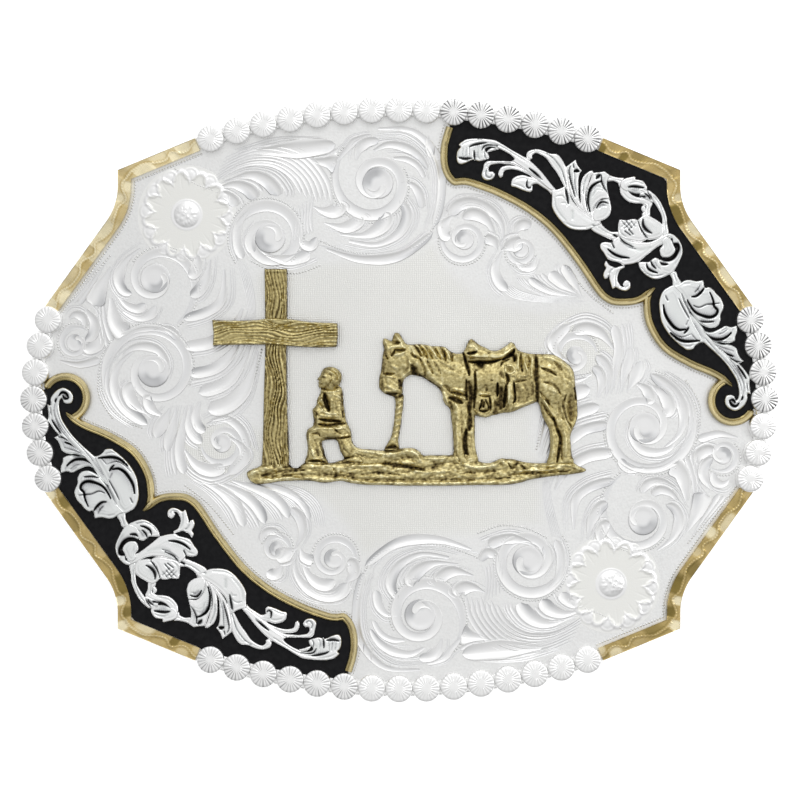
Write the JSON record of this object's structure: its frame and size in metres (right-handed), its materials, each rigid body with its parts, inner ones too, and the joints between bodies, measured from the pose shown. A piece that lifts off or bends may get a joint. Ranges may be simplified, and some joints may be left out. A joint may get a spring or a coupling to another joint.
{
  "type": "western belt buckle",
  "caption": "Curved western belt buckle: engraved silver plate, berry edge, gold corners, black inlays, cast cross, rider and horse, with a strap loop and a hook on the back.",
  "frame": {"origin": "on the surface that the buckle lies on, under the middle of the buckle, which lies on its back fittings with its face up", "axes": "+X along the buckle's long side, to the right of someone who looks at its face; +Y up its face; +Z out of its face, straight up as it lies"},
  "size_m": [0.1072, 0.0856, 0.0163],
  "materials": {
    "engraved_silver": "silver plate, frosted ground with polished engraving",
    "bright_silver": "bright silver plate",
    "bright_gold": "gold plate with bright cuts",
    "border_gold": "polished gold plate",
    "black_inlay": "satin black enamel",
    "antiqued_silver": "bright silver plate with black in the cut lines",
    "antique_gold": "antique gold plate, dark in the hollows, bright on the high points",
    "fitting_silver": "plain silver plate"
  },
  "bodies": {
    "root": {"plate": "engraved_silver", "berry_edge_top": "bright_silver", "berry_edge_bottom": "bright_silver", "berry_edge_left": "bright_silver", "berry_edge_right": "bright_silver", "gold_edge_top_left": "bright_gold", "gold_edge_top_right": "bright_gold", "gold_edge_bottom_left": "bright_gold", "gold_edge_bottom_right": "bright_gold", "black_panel_upper": "black_inlay", "black_panel_lower": "black_inlay", "panel_border_upper": "border_gold", "panel_border_lower": "border_gold", "flower_spray_upper": "antiqued_silver", "flower_spray_lower": "antiqued_silver", "figure_casting": "antique_gold", "belt_loop": "fitting_silver", "belt_hook": "fitting_silver"}
  },
  "joints": []
}
